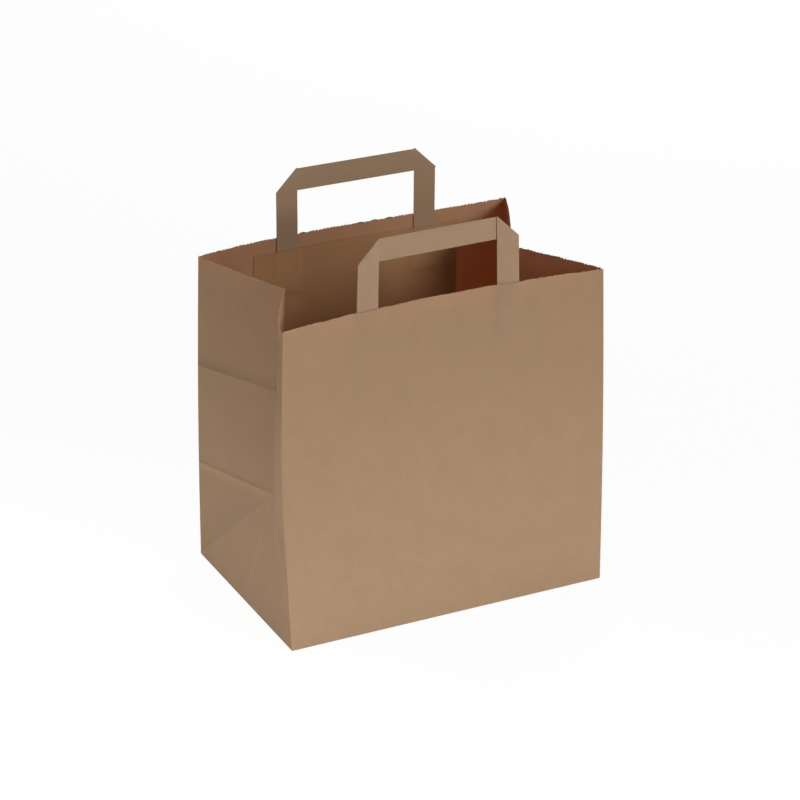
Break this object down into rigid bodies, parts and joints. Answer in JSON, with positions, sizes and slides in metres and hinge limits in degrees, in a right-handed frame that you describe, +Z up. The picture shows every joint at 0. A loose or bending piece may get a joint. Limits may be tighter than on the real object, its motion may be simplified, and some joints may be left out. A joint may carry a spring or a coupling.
{
  "type": "paper carrier bag",
  "caption": "Brown kraft paper carrier bag with folded side gussets, a flat block bottom and flat folded paper handles pasted inside its front and back walls.",
  "frame": {"origin": "middle of the base, on the surface that the bag stands on", "axes": "+Z up, +X across the bag's width, front wall at -Y, gussets at -X and +X"},
  "size_m": [0.2624, 0.17, 0.3085],
  "materials": {
    "kraft_paper": "uncoated brown kraft, matt, fine fibre and faint ribbing",
    "kraft_handle": "uncoated brown kraft folded into a stiff flat strip, matt",
    "kraft_patch": "uncoated brown kraft, matt"
  },
  "bodies": {
    "root": {"bag_body": "kraft_paper", "handle_front": "kraft_handle", "handle_back": "kraft_handle", "patch_front": "kraft_patch", "patch_back": "kraft_patch"}
  },
  "joints": []
}
